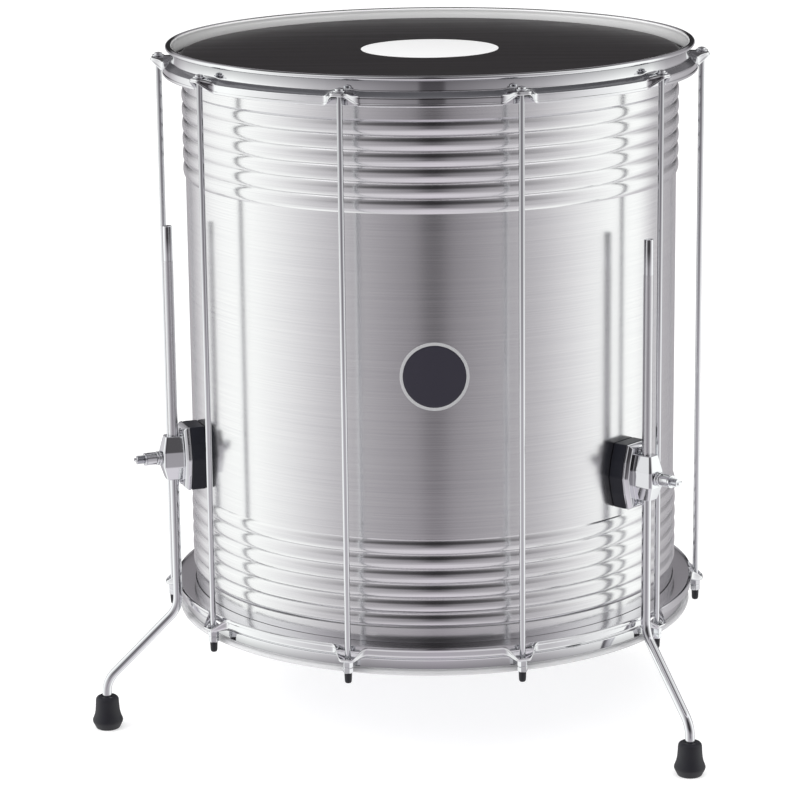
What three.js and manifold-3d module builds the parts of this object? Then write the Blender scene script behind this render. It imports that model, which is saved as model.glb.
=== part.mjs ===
// A surdo: a two-headed bass drum of beaded aluminium that stands on three sliding legs.
// Millimetres, +Z up. The origin is the centre of the playing head and Z is the drum's axis.
// Bearings are degrees round the drum from its front, which is -Y, towards +X.
import * as THREE from "three";
import { mergeVertices } from "three/addons/utils/BufferGeometryUtils.js";
import Module from "manifold-3d";

// Clearance between pieces that are fitted together, and between pieces that move.
const FIT = 0.3;

// Shell
const SHELL_RADIUS = 249.2;
const SHELL_WALL = 1.2;
const HEAD_SPAN = 567;
const FILM = 0.5;
const EDGE_TURN = 4.5;
const BEAD_COUNT = 6;
const BEAD_PITCH = 15;
const BEAD_RISE = 2.3;
const BEAD_INSET = 33.6;
const SHELL_SIDES = 36;

// Head film and the flesh hoop that it is bonded into
const FLESH_GAP = 11.6;
const FLESH_WALL = 6.2;
const FLESH_TOP_DROP = 8.9;
const FLESH_SLOPE = 3.6;
const FLESH_HEIGHT = 9.9;
const FILM_SHOULDER_DROP = 0.9;
const FILM_TUCK = 9;
const FLESH_INNER = SHELL_RADIUS + FLESH_GAP;
const FLESH_OUTER = FLESH_INNER + FLESH_WALL;

// Pressed counter hoop
const SHEET = 1.6;
const BAND_STEP = 1.2;
const RIM_RISE = 9.7;
const ROLL_WIDTH = 6.3;
const ROLL_HEIGHT = 5.2;
const SHOULDER_DROP = 5.8;
const SKIRT_GAP = 1.9;
const SKIRT_TOP_DROP = 10.7;
const SKIRT_END_DROP = 19.3;
const EAR_REACH = 20.5;
const EAR_TOP_DROP = 4.8;
const EAR_NOSE = 3.2;
const EAR_TIP_DROP = 8.6;
const EAR_FLAT = 5;
const EAR_HALF_WIDTH = 20;
const EAR_STEPS = 3;
const GAP_STEPS = 3;
const BAND_RADIUS = FLESH_INNER + BAND_STEP;
const SKIRT_RADIUS = FLESH_OUTER + SKIRT_GAP + SHEET;
const EAR_TIP = BAND_RADIUS + EAR_REACH;

// Tension rods, their nuts and end caps
const ROD_COUNT = 10;
const FIRST_ROD_BEARING = 18;
const ROD_INSET = 8;
const ROD_RADIUS = 2.9;
const ROD_FLANGE_RADIUS = 6.2;
const ROD_FLANGE_HEIGHT = 1.3;
const ROD_DOME_RADIUS = 4.3;
const ROD_HEAD_HEIGHT = 4;
const NUT_RADIUS = 5.4;
const NUT_WAIST_RADIUS = 4.7;
const NUT_HEIGHT = 11.1;
const CAP_RADIUS = 3.8;
const CAP_LENGTH = 10.3;
const CAP_NOSE = 2.4;
const ROD_SIDES = 8;
const ROD_CIRCLE = EAR_TIP - ROD_INSET;

// Leg brackets
const LEG_BEARINGS = [-71, 49, 169];
const LEG_TURNS = [-15, -17, 0];
const LEG_RADIUS = 4.75;
const LEG_STANDOFF = 2.75;
const BEAD_TO_PAD = 10.6;
const PAD_HALF_HEIGHT = 32.6;
const PAD_HALF_WIDTH = 22.6;
const PAD_DEPTH = 14.7;
const FLANGE_EDGE = 3.2;
const FLANGE_BEVEL = 3.1;
const FLANGE_INSET = 3;
const BOSS_HALF_HEIGHT = 22.7;
const BOSS_HALF_WIDTH = 10.5;
const BOSS_ROOT_HALF_WIDTH = 14.5;
const BOSS_REACH = 12.9;
const BRACKET_SCREW_RISE = 26.3;
const SCREW_HEAD_RADIUS = 3.2;
const SCREW_HEAD_HEIGHT = 2.1;
const SCREW_RADIUS = 2;
const SCREW_TAIL = 4;
const PAD_FACE = SHELL_RADIUS + PAD_DEPTH;
const FLANGE_FACE = PAD_FACE + FIT + FLANGE_EDGE + FLANGE_BEVEL;
const LEG_CIRCLE = FLANGE_FACE + LEG_STANDOFF + LEG_RADIUS;
const BRACKET_RISE = BEAD_INSET + BEAD_COUNT * BEAD_PITCH + BEAD_TO_PAD + PAD_HALF_HEIGHT;
const BRACKET_DROP = HEAD_SPAN - BRACKET_RISE;

// Clamp bolts
const CLAMP_SHANK_RADIUS = 3.6;
const CLAMP_GAP = 3.9;
const COLLAR_RADIUS = 7.4;
const COLLAR_LENGTH = 5.4;
const GRIP_RADIUS = 6.2;
const GRIP_LENGTH = 12.6;
const CLAMP_TIP_RADIUS = 4.6;
const CLAMP_TIP_LENGTH = 9.8;

// Legs and feet
const LEG_TOP_RISE = 237.7;
const LEG_BEND_RISE = 6.3;
const LEG_REACH = 75.6;
const LEG_BEND_RADIUS = 30;
const LEG_CHAMFER = 1.2;
const FLOOR_FALL = 120.7;
const FOOT_HEIGHT = 34.7;
const FOOT_TOP_RADIUS = 11.9;
const FOOT_CROWN = 3;
const FOOT_FLARE_RADIUS = 16;
const FOOT_FLARE_RISE = 8.5;
const FOOT_NECK_RISE = 20.5;
const FOOT_SOLE_RADIUS = 11.8;
const FOOT_SOLE = 9;
const FOOT_TO_BEND = 15.9;
const LEG_SIDES = 10;
const BEND_STEPS = 3;
const FLOOR_DROP = HEAD_SPAN + FLOOR_FALL;
const LEG_TOP_DROP = BRACKET_DROP - LEG_TOP_RISE;
const LEG_BEND_DROP = HEAD_SPAN - LEG_BEND_RISE;
const LEG_LOW_BEND_DROP = FLOOR_DROP - FOOT_HEIGHT - FOOT_TO_BEND;

const CHROME = { color: 0xdcdee1, roughness: 0.12, metalness: 1 };
const ALUMINIUM = { color: 0xd3d5d8, roughness: 0.3, metalness: 1 };
const BLACK_FILM = { color: 0x161618, roughness: 0.4, metalness: 0 };
const CLEAR_FILM = { color: 0xb4b6b8, roughness: 0.35, metalness: 0 };
const RUBBER = { color: 0x1b1b1d, roughness: 0.75, metalness: 0 };

const wasm = await Module();
wasm.setup();

const radians = (degrees) => (degrees * Math.PI) / 180;
const mix = (a, b, share) => a + (b - a) * share;
const v2 = (x, y) => new THREE.Vector2(x, y);
const v3 = (x, y, z) => new THREE.Vector3(x, y, z);

// One named piece with a material of its own.
function piece(name, geometry, look) {
  const mesh = new THREE.Mesh(geometry, new THREE.MeshStandardMaterial(look));
  mesh.name = name;
  return mesh;
}

// A group whose +X points away from the drum's axis at a bearing.
function spoke(bearing) {
  const group = new THREE.Group();
  group.rotation.z = radians(bearing) - Math.PI / 2;
  return group;
}

// Turns a profile of [radius, height] pairs round the Z axis. The pairs run up the outside.
function turned(pairs, sides) {
  const points = pairs.map(([r, z]) => v2(r, z));
  return new THREE.LatheGeometry(points, sides).rotateX(Math.PI / 2);
}

// Joins rings of points into a skin. A looped skin closes on its first ring, another gets end caps.
function loft(rings, looped) {
  const size = rings[0].length;
  const at = rings.flat().flatMap((p) => [p.x, p.y, p.z]);
  const index = [];
  const last = looped ? rings.length : rings.length - 1;
  for (let i = 0; i < last; i++)
    for (let j = 0; j < size; j++) {
      const a = i * size + j;
      const b = i * size + ((j + 1) % size);
      const c = ((i + 1) % rings.length) * size + j;
      const d = ((i + 1) % rings.length) * size + ((j + 1) % size);
      index.push(a, b, d, a, d, c);
    }
  if (!looped)
    for (let j = 1; j < size - 1; j++) {
      const top = (rings.length - 1) * size;
      index.push(0, j + 1, j, top, top + j, top + j + 1);
    }
  const geometry = new THREE.BufferGeometry();
  geometry.setAttribute("position", new THREE.Float32BufferAttribute(at, 3));
  geometry.setIndex(index);
  geometry.computeVertexNormals();
  return geometry;
}

function solid(geometry) {
  const bare = geometry.clone();
  bare.deleteAttribute("normal");
  bare.deleteAttribute("uv");
  const merged = mergeVertices(bare);
  const vertProperties = merged.getAttribute("position").array;
  const triVerts = new Uint32Array(merged.getIndex().array);
  return new wasm.Manifold(new wasm.Mesh({ numProp: 3, vertProperties, triVerts }));
}

function geometryOf(shape) {
  const mesh = shape.getMesh();
  const geometry = new THREE.BufferGeometry();
  geometry.setAttribute("position", new THREE.BufferAttribute(mesh.vertProperties, 3));
  geometry.setIndex(new THREE.BufferAttribute(mesh.triVerts, 1));
  return geometry;
}

// A round bar along +X between two distances, for cutting radial holes. Its flats keep the radius.
function radialBar(radius, from, to, y, z) {
  const bar = new THREE.CylinderGeometry(radius, radius, to - from, ROD_SIDES);
  return bar.rotateZ(-Math.PI / 2).translate((from + to) / 2, y, z);
}

function uprightBar(radius, from, to, x, y, sides) {
  const wide = radius / Math.cos(Math.PI / sides);
  const bar = new THREE.CylinderGeometry(wide, wide, to - from, sides);
  return bar.rotateX(Math.PI / 2).translate(x, y, (from + to) / 2);
}

// Outline of the shell wall from one bearing edge to the other, moved out by a rise.
function wallLine(radius) {
  const line = [];
  for (let i = 0; i <= 2 * BEAD_COUNT; i++) {
    const crest = i % 2 === 1;
    line.push([radius + (crest ? BEAD_RISE : 0), -BEAD_INSET - (i * BEAD_PITCH) / 2]);
  }
  const lower = line.map(([r, z]) => [r, -HEAD_SPAN - z]).reverse();
  return line.concat(lower);
}

// Beaded sheet tube whose two bearing edges are turned inwards under the heads.
function shellShape() {
  const top = -FILM;
  const bottom = FILM - HEAD_SPAN;
  const inner = SHELL_RADIUS - SHELL_WALL;
  const lip = inner - EDGE_TURN;
  const profile = [
    [SHELL_RADIUS, bottom],
    ...wallLine(SHELL_RADIUS).reverse(),
    [SHELL_RADIUS, top],
    [lip, top],
    [lip, top - SHELL_WALL],
    [inner, top - SHELL_WALL],
    ...wallLine(inner),
    [inner, bottom + SHELL_WALL],
    [lip, bottom + SHELL_WALL],
    [lip, bottom],
    [SHELL_RADIUS, bottom],
  ];
  let shape = solid(turned(profile, SHELL_SIDES));
  for (const bearing of LEG_BEARINGS)
    for (const side of [-1, 1]) {
      const hole = radialBar(
        SCREW_RADIUS + FIT,
        SHELL_RADIUS - EDGE_TURN,
        PAD_FACE,
        0,
        side * BRACKET_SCREW_RISE - BRACKET_DROP,
      );
      hole.rotateZ(radians(bearing) - Math.PI / 2);
      shape = shape.subtract(solid(hole));
    }
  return geometryOf(shape);
}

// Film disc that turns over the bearing edge and runs down inside the flesh hoop.
function filmShape() {
  const edge = SHELL_RADIUS + FILM_SHOULDER_DROP;
  const tuck = FLESH_INNER - FIT;
  const tuckTop = -FLESH_TOP_DROP;
  const tuckEnd = tuckTop - FILM_TUCK;
  return turned(
    [
      [0, -FILM],
      [SHELL_RADIUS, -FILM],
      [edge, -FILM - FILM_SHOULDER_DROP],
      [tuck - FILM, tuckTop - FILM],
      [tuck - FILM, tuckEnd],
      [tuck, tuckEnd],
      [tuck, tuckTop],
      [edge + FILM, -FILM_SHOULDER_DROP],
      [SHELL_RADIUS, 0],
      [0, 0],
    ],
    SHELL_SIDES,
  );
}

function fleshHoopShape() {
  return turned(
    [
      [FLESH_INNER, -FLESH_TOP_DROP],
      [FLESH_INNER, -FLESH_TOP_DROP - FLESH_HEIGHT],
      [FLESH_OUTER, -FLESH_TOP_DROP - FLESH_HEIGHT],
      [FLESH_OUTER, -FLESH_TOP_DROP - FLESH_SLOPE],
      [FLESH_INNER, -FLESH_TOP_DROP],
    ],
    SHELL_SIDES,
  );
}

// The hoop's section where it is a plain skirt, and where it is drawn out over a rod as an ear.
function hoopSections() {
  const inner = BAND_RADIUS - SHEET;
  const roll = inner + ROLL_WIDTH;
  const rollTop = [
    [inner, RIM_RISE - ROLL_HEIGHT / 3],
    [(inner + roll) / 2, RIM_RISE],
    [roll, RIM_RISE - ROLL_HEIGHT / 2],
    [BAND_RADIUS, RIM_RISE - ROLL_HEIGHT],
  ];
  const skirt = [
    [BAND_RADIUS, -SHOULDER_DROP],
    [SKIRT_RADIUS - SHEET, -SKIRT_TOP_DROP + SHEET],
    [SKIRT_RADIUS, -SKIRT_TOP_DROP - SHEET],
    [SKIRT_RADIUS, -SKIRT_END_DROP],
    [SKIRT_RADIUS - SHEET, -SKIRT_END_DROP],
    [SKIRT_RADIUS - SHEET, -SKIRT_TOP_DROP - SHEET],
    [inner, -SHOULDER_DROP - SHEET],
  ];
  const ear = [
    [BAND_RADIUS + SHEET, -EAR_TOP_DROP],
    [EAR_TIP - EAR_NOSE, -EAR_TOP_DROP],
    [EAR_TIP, -EAR_TOP_DROP - SHEET],
    [EAR_TIP, -EAR_TIP_DROP],
    [EAR_TIP - SHEET, -EAR_TIP_DROP],
    [EAR_TIP - EAR_NOSE, -EAR_TOP_DROP - SHEET],
    [inner, -EAR_TOP_DROP - SHEET],
  ];
  return [rollTop.concat(skirt), rollTop.concat(ear)];
}

// Places round a hoop: several across each ear, and a few over the gap to the next.
function hoopStations() {
  const stations = [];
  const sector = 360 / ROD_COUNT;
  const halfEar = (EAR_HALF_WIDTH / ROD_CIRCLE) * (180 / Math.PI);
  const halfFlat = (EAR_FLAT / ROD_CIRCLE) * (180 / Math.PI);
  for (let i = 0; i < ROD_COUNT; i++) {
    const middle = FIRST_ROD_BEARING + i * sector;
    for (const side of [-1, 1])
      for (let j = 0; j < EAR_STEPS; j++) {
        const share = side < 0 ? j / (EAR_STEPS - 1) : 1 - j / (EAR_STEPS - 1);
        const away = mix(halfEar, halfFlat, share);
        const rise = (1 - Math.cos(Math.PI * share)) / 2;
        stations.push([middle + side * away, rise]);
      }
    for (let j = 1; j < GAP_STEPS; j++)
      stations.push([middle + mix(halfEar, sector - halfEar, j / GAP_STEPS), 0]);
  }
  return stations;
}

// Rolled rim, band and skirt in one pressed sheet, with an ear and a hole for each rod.
function hoopShape() {
  const [skirt, ear] = hoopSections();
  const rings = hoopStations().map(([bearing, rise]) => {
    const turn = radians(bearing);
    return skirt.map(([r, z], i) => {
      const radius = mix(r, ear[i][0], rise);
      const height = mix(z, ear[i][1], rise);
      return v3(radius * Math.sin(turn), -radius * Math.cos(turn), height);
    });
  });
  let shape = solid(loft(rings, true));
  for (let i = 0; i < ROD_COUNT; i++) {
    const [x, y] = rodPlace(i);
    const hole = uprightBar(ROD_RADIUS + FIT, -SKIRT_END_DROP, RIM_RISE, x, y, ROD_SIDES);
    shape = shape.subtract(solid(hole));
  }
  return geometryOf(shape);
}

function rodPlace(i) {
  const bearing = radians(FIRST_ROD_BEARING + (i * 360) / ROD_COUNT);
  return [ROD_CIRCLE * Math.sin(bearing), -ROD_CIRCLE * Math.cos(bearing)];
}

const NUT_TOP = EAR_TOP_DROP - HEAD_SPAN - FIT;
const CAP_TOP = NUT_TOP - NUT_HEIGHT - FIT;

// Long rod with a flanged, domed head that hangs in the upper ear. Its end sits in the cap.
function rodShape() {
  const crownShare = 0.8;
  const under = -EAR_TOP_DROP + FIT;
  const end = CAP_TOP - CAP_LENGTH + CAP_NOSE;
  return turned(
    [
      [0, end],
      [ROD_RADIUS, end],
      [ROD_RADIUS, under],
      [ROD_FLANGE_RADIUS, under],
      [ROD_FLANGE_RADIUS, under + ROD_FLANGE_HEIGHT],
      [ROD_DOME_RADIUS, under + ROD_FLANGE_HEIGHT],
      [ROD_DOME_RADIUS * crownShare, under + ROD_HEAD_HEIGHT * crownShare],
      [0, under + ROD_HEAD_HEIGHT],
    ],
    ROD_SIDES,
  );
}

// Hexagon nut in two stages with a waist between them, open for the rod.
function nutShape() {
  const bore = (ROD_RADIUS + FIT) / Math.cos(Math.PI / 6);
  const bottom = NUT_TOP - NUT_HEIGHT;
  const middle = NUT_TOP - NUT_HEIGHT / 2;
  return turned(
    [
      [bore, bottom],
      [NUT_RADIUS, bottom],
      [NUT_RADIUS, middle - FIT],
      [NUT_WAIST_RADIUS, middle],
      [NUT_RADIUS, middle + FIT],
      [NUT_RADIUS, NUT_TOP],
      [bore, NUT_TOP],
      [bore, bottom],
    ],
    6,
  );
}

// Soft sleeve over the end of a rod.
function capShape() {
  const end = CAP_TOP - CAP_LENGTH;
  const bore = ROD_RADIUS + FIT;
  const blind = end + CAP_NOSE - FIT;
  return turned(
    [
      [0, end],
      [CAP_RADIUS - CAP_NOSE / 2, end],
      [CAP_RADIUS, end + CAP_NOSE],
      [CAP_RADIUS, CAP_TOP],
      [bore, CAP_TOP],
      [bore, blind],
      [0, blind],
    ],
    ROD_SIDES,
  );
}

// Barrel outline of the pad and the flange, in the plane that faces away from the drum.
function padRing(x, inset) {
  const endShare = 0.67;
  const halfwayShare = 0.88;
  const w = PAD_HALF_WIDTH - inset;
  const h = PAD_HALF_HEIGHT - inset;
  const half = [
    [w, 0],
    [w * halfwayShare, h / 2],
    [w * endShare, h],
    [-w * endShare, h],
    [-w * halfwayShare, h / 2],
  ];
  const otherHalf = half.map(([y, z]) => [-y, -z]);
  return half.concat(otherHalf).map(([y, z]) => v3(x, y, z - BRACKET_DROP));
}

function screwHoles(from, to) {
  return [-1, 1].map((side) => {
    const z = side * BRACKET_SCREW_RISE - BRACKET_DROP;
    return solid(radialBar(SCREW_RADIUS + FIT, from, to, 0, z));
  });
}

// Thick pad between the casting and the round shell.
function padShape() {
  const low = SHELL_RADIUS - EDGE_TURN;
  const block = solid(loft([padRing(low, 0), padRing(PAD_FACE, 0)], false));
  const reach = 2 * PAD_HALF_HEIGHT;
  const middle = -BRACKET_DROP;
  const wall = uprightBar(SHELL_RADIUS + FIT, middle - reach, middle + reach, 0, 0, 2 * SHELL_SIDES);
  let shape = block.subtract(solid(wall));
  for (const hole of screwHoles(low - FIT, PAD_FACE + FIT)) shape = shape.subtract(hole);
  return geometryOf(shape);
}

// Cast body of a leg bracket: a bevelled flange that carries a faceted boss round the leg.
function castingShape() {
  const back = PAD_FACE + FIT;
  const rim = back + FLANGE_EDGE;
  const flange = loft([padRing(back, 0), padRing(rim, 0), padRing(FLANGE_FACE, FLANGE_INSET)], false);
  const levelShares = [-1, -0.38, 0.3, 1];
  const widthShares = [0.7, 1, 1, 0.74];
  const reachShares = [0.66, 1, 1, 0.72];
  const cornerShare = 0.62;
  const rings = levelShares.map((level, i) => {
    const w = BOSS_HALF_WIDTH * widthShares[i];
    const root = BOSS_ROOT_HALF_WIDTH * widthShares[i];
    const out = LEG_CIRCLE + BOSS_REACH * reachShares[i];
    const corner = LEG_CIRCLE + BOSS_REACH * reachShares[i] * cornerShare;
    const z = level * BOSS_HALF_HEIGHT - BRACKET_DROP;
    return [
      [rim, -root],
      [corner, -w],
      [out, -w / 2],
      [out, w / 2],
      [corner, w],
      [rim, root],
    ].map(([x, y]) => v3(x, y, z));
  });
  let shape = solid(flange).add(solid(loft(rings, false)));
  const top = BOSS_HALF_HEIGHT - BRACKET_DROP + FIT;
  const bottom = -BOSS_HALF_HEIGHT - BRACKET_DROP - FIT;
  const bore = uprightBar(LEG_RADIUS + FIT, bottom, top, LEG_CIRCLE, 0, LEG_SIDES);
  shape = shape.subtract(solid(bore));
  const beyond = LEG_CIRCLE + 2 * BOSS_REACH;
  const hole = radialBar(CLAMP_SHANK_RADIUS + FIT, LEG_CIRCLE, beyond, 0, -BRACKET_DROP);
  shape = shape.subtract(solid(hole));
  for (const cut of screwHoles(back - FIT, LEG_CIRCLE - LEG_RADIUS)) shape = shape.subtract(cut);
  return geometryOf(shape);
}

// Pan-head screw along +X from inside the shell to the flange's face.
function screwShape() {
  const crownShare = 0.8;
  const seat = FLANGE_FACE + FIT;
  const tail = SHELL_RADIUS - SCREW_TAIL;
  const profile = [
    [0, tail],
    [SCREW_RADIUS, tail],
    [SCREW_RADIUS, seat],
    [SCREW_HEAD_RADIUS, seat],
    [SCREW_HEAD_RADIUS * crownShare, seat + SCREW_HEAD_HEIGHT],
    [0, seat + SCREW_HEAD_HEIGHT],
  ];
  return turned(profile, ROD_SIDES).rotateY(Math.PI / 2);
}

// Clamp bolt along +X: short shank in the boss, collar, grip and a narrow threaded end.
function clampShape() {
  const shank = LEG_CIRCLE + LEG_RADIUS + CLAMP_GAP;
  const collar = LEG_CIRCLE + BOSS_REACH + FIT;
  const grip = collar + COLLAR_LENGTH;
  const tip = grip + GRIP_LENGTH;
  const end = tip + CLAMP_TIP_LENGTH;
  const profile = [
    [0, shank],
    [CLAMP_SHANK_RADIUS, shank],
    [CLAMP_SHANK_RADIUS, collar],
    [COLLAR_RADIUS, collar],
    [COLLAR_RADIUS, grip],
    [GRIP_RADIUS, grip],
    [GRIP_RADIUS, tip],
    [CLAMP_TIP_RADIUS, tip],
    [CLAMP_TIP_RADIUS, end],
    [0, end],
  ];
  return turned(profile, LEG_SIDES).rotateY(Math.PI / 2);
}

// The leg's centre line in its own plane, from the top down, with rounded bends.
function legLine() {
  const bendShare = 0.42;
  const top = v2(0, -LEG_TOP_DROP);
  const bend = v2(0, -LEG_BEND_DROP);
  const low = v2(LEG_REACH, -LEG_LOW_BEND_DROP);
  const end = v2(LEG_REACH, FOOT_SOLE + FIT - FLOOR_DROP);
  const away = LEG_BEND_RADIUS * bendShare;
  const line = [top];
  for (const [before, corner, after] of [
    [top, bend, low],
    [bend, low, end],
  ]) {
    const from = corner.clone().add(before.clone().sub(corner).setLength(away));
    const to = corner.clone().add(after.clone().sub(corner).setLength(away));
    const curve = new THREE.QuadraticBezierCurve(from, corner, to);
    line.push(...curve.getPoints(BEND_STEPS));
  }
  line.push(end);
  return line;
}

// Round rod bent twice, so that the foot stands outside the hoops.
function legShape() {
  const line = legLine();
  const rings = line.map((p, i) => {
    const before = line[Math.max(i - 1, 0)];
    const after = line[Math.min(i + 1, line.length - 1)];
    const along = after.clone().sub(before).normalize();
    const ring = [];
    for (let j = 0; j < LEG_SIDES; j++) {
      const turn = (2 * Math.PI * j) / LEG_SIDES;
      const across = LEG_RADIUS * Math.cos(turn);
      const aside = LEG_RADIUS * Math.sin(turn);
      ring.push(v3(p.x + along.y * across, aside, p.y - along.x * across));
    }
    return ring;
  });
  const crown = rings[0].map((p) => {
    const share = 1 - LEG_CHAMFER / LEG_RADIUS;
    return v3(p.x * share, p.y * share, p.z + LEG_CHAMFER);
  });
  return loft([crown, ...rings], false);
}

// Rubber foot with a flared sole and a blind bore for the leg.
function footShape() {
  const floor = -FLOOR_DROP;
  const top = floor + FOOT_HEIGHT;
  const bore = LEG_RADIUS + FIT;
  return turned(
    [
      [0, floor],
      [FOOT_SOLE_RADIUS, floor],
      [FOOT_FLARE_RADIUS, floor + FOOT_FLARE_RISE],
      [FOOT_TOP_RADIUS, floor + FOOT_NECK_RISE],
      [FOOT_TOP_RADIUS, top - FOOT_CROWN],
      [FOOT_TOP_RADIUS - FOOT_CROWN / 2, top],
      [bore, top],
      [bore, floor + FOOT_SOLE],
      [0, floor + FOOT_SOLE],
    ],
    LEG_SIDES + 2,
  ).translate(LEG_REACH, 0, 0);
}

// Heads, flesh hoops and counter hoops: the lower set is the upper one turned over.
function heads() {
  const group = new THREE.Group();
  for (const [end, flip, look] of [
    ["top", false, BLACK_FILM],
    ["bottom", true, CLEAR_FILM],
  ]) {
    const set = new THREE.Group();
    set.add(piece(end + "_head", filmShape(), look));
    set.add(piece(end + "_flesh_hoop", fleshHoopShape(), ALUMINIUM));
    set.add(piece(end + "_hoop", hoopShape(), CHROME));
    if (flip) {
      set.scale.z = -1;
      set.position.z = -HEAD_SPAN;
    }
    group.add(set);
  }
  return group;
}

function tuning() {
  const group = new THREE.Group();
  for (let i = 0; i < ROD_COUNT; i++) {
    const [x, y] = rodPlace(i);
    const number = String(i + 1).padStart(2, "0");
    const set = new THREE.Group();
    set.position.set(x, y, 0);
    set.add(piece("tension_rod_" + number, rodShape(), CHROME));
    set.add(piece("tuning_nut_" + number, nutShape(), CHROME));
    set.add(piece("rod_cap_" + number, capShape(), RUBBER));
    group.add(set);
  }
  return group;
}

function legs() {
  const group = new THREE.Group();
  LEG_BEARINGS.forEach((bearing, i) => {
    const number = i + 1;
    const set = spoke(bearing);
    set.add(piece("bracket_pad_" + number, padShape(), RUBBER));
    set.add(piece("bracket_casting_" + number, castingShape(), CHROME));
    for (const [place, side] of [
      ["upper", 1],
      ["lower", -1],
    ]) {
      const screw = piece("bracket_screw_" + place + "_" + number, screwShape(), CHROME);
      screw.position.z = side * BRACKET_SCREW_RISE - BRACKET_DROP;
      set.add(screw);
    }
    const clamp = piece("clamp_bolt_" + number, clampShape(), CHROME);
    clamp.position.z = -BRACKET_DROP;
    set.add(clamp);
    const slider = new THREE.Group();
    slider.position.x = LEG_CIRCLE;
    slider.rotation.z = radians(LEG_TURNS[i]);
    slider.add(piece("leg_" + number, legShape(), CHROME));
    slider.add(piece("foot_" + number, footShape(), RUBBER));
    set.add(slider);
    group.add(set);
  });
  return group;
}

const surdo = new THREE.Group();
surdo.add(piece("shell", shellShape(), ALUMINIUM));
surdo.add(heads());
surdo.add(tuning());
surdo.add(legs());

export default surdo;
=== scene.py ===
# %% [markdown]
# # A surdo in the studio
# A surdo is the big bass drum of a samba band. This one has a beaded aluminium shell,
# two heads, ten long tension rods and three bent legs. The drum arrives as CAD solids
# that are right in size but plain. Each cell below dresses one kind of piece, and the
# last ones build the floor, the lights and the camera.

import math

import bmesh
import bpy
from mathutils import Matrix, Vector


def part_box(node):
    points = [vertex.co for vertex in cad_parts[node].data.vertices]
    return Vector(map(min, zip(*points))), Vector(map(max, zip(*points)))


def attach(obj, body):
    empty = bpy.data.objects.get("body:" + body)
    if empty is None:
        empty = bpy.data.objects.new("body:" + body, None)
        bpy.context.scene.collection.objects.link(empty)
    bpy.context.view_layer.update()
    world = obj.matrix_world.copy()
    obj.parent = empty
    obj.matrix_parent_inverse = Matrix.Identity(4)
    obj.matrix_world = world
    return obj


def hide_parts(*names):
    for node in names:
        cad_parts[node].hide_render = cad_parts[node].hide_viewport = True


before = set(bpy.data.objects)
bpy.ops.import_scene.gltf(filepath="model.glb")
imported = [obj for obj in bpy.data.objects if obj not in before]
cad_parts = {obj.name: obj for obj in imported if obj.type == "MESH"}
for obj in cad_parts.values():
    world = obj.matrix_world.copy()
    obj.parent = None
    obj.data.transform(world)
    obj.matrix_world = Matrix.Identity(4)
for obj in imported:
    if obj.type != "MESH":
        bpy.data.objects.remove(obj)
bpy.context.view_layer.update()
MM = 0.001

# %% [markdown]
# The drum's layout is written once. The origin is the centre of the playing head and Z
# is the drum's axis. A bearing is an angle round the drum from its front, so pieces can
# be modelled at the front and turned to their bearing. `GAP` is the clearance between
# two pieces that would otherwise share a surface.

# %% Sizes that several pieces share
WALL = 249.2 * MM
SPAN = 567 * MM
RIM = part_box("top_hoop")[1].z
ROD_CIRCLE = 274.5 * MM
ROD_RADIUS = 2.9 * MM
EAR_TOP = -4.8 * MM
FIRST_ROD, ROD_COUNT = 18, 10
LEG_CIRCLE = 278 * MM
LEG_RADIUS = 4.75 * MM
BRACKET = -400.2 * MM
BEARINGS = (-71, 49, 169)
LEG_TURNS = (-15, -17, 0)
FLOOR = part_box("foot_1")[0].z
GAP = 0.3 * MM
print("rim", round(RIM, 4), "floor", round(FLOOR, 4))


# %% [markdown]
# Node trees are easier to read as sums. This class wraps a node's output, so that
# `1 - mask` or `wave * 0.3` adds the Math node that does it. `node` adds any other kind
# of node: its settings first, then its inputs. Both work in shader trees and in geometry
# trees, because the two use the same Math node.

# %% A socket that can be added up
class Wire:
    def __init__(self, tree, socket):
        self.tree, self.socket = tree, socket

    def math(self, operation, *others):
        inputs = dict(enumerate((self, *others)))
        return node(self.tree, "ShaderNodeMath", {"operation": operation}, inputs)

    def __add__(self, other):
        return self.math("ADD", other)

    def __sub__(self, other):
        return self.math("SUBTRACT", other)

    def __rsub__(self, other):
        return self.math("MULTIPLY", -1) + other

    def __mul__(self, other):
        return self.math("MULTIPLY", other)

    def __truediv__(self, other):
        return self.math("DIVIDE", other)

    __radd__, __rmul__ = __add__, __mul__


def node(tree, kind, settings=None, inputs=None, output=0):
    made = tree.nodes.new(kind)
    for key, value in (settings or {}).items():
        if key == "stops":
            ramp = made.color_ramp.elements
            while len(ramp) < len(value):
                ramp.new(1)
            for stop, (place, shade) in zip(ramp, value):
                stop.position, stop.color = place, (*shade, 1)
        else:
            setattr(made, key, value)
    for key, value in (inputs or {}).items():
        if isinstance(value, Wire):
            tree.links.new(value.socket, made.inputs[key])
        else:
            made.inputs[key].default_value = value
    return Wire(tree, made.outputs[output])


print("node helper ready")


# %% [markdown]
# Every finish here starts from the Principled shader. `finish` makes the material, sets
# the values that are the same all over on the shader itself, and hands back the tree so
# that a cell can plug in what varies.

# %% Start a material
def finish(name, colour, roughness, **constants):
    material = bpy.data.materials.new(name)
    material.use_nodes = True
    tree = material.node_tree
    shader = tree.nodes["Principled BSDF"]
    shader.inputs["Base Color"].default_value = (*colour, 1)
    shader.inputs["Roughness"].default_value = roughness
    for key, value in constants.items():
        shader.inputs[key.replace("_", " ")].default_value = value
    return material, tree, shader


def noise(tree, scale, detail=2.0, stretch=(1, 1, 1)):
    place = node(tree, "ShaderNodeTexCoord", output="Object")
    drawn = node(tree, "ShaderNodeMapping", inputs={"Vector": place, "Scale": stretch})
    inputs = {"Vector": drawn, "Scale": scale, "Detail": detail}
    return node(tree, "ShaderNodeTexNoise", inputs=inputs, output="Fac")


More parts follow.
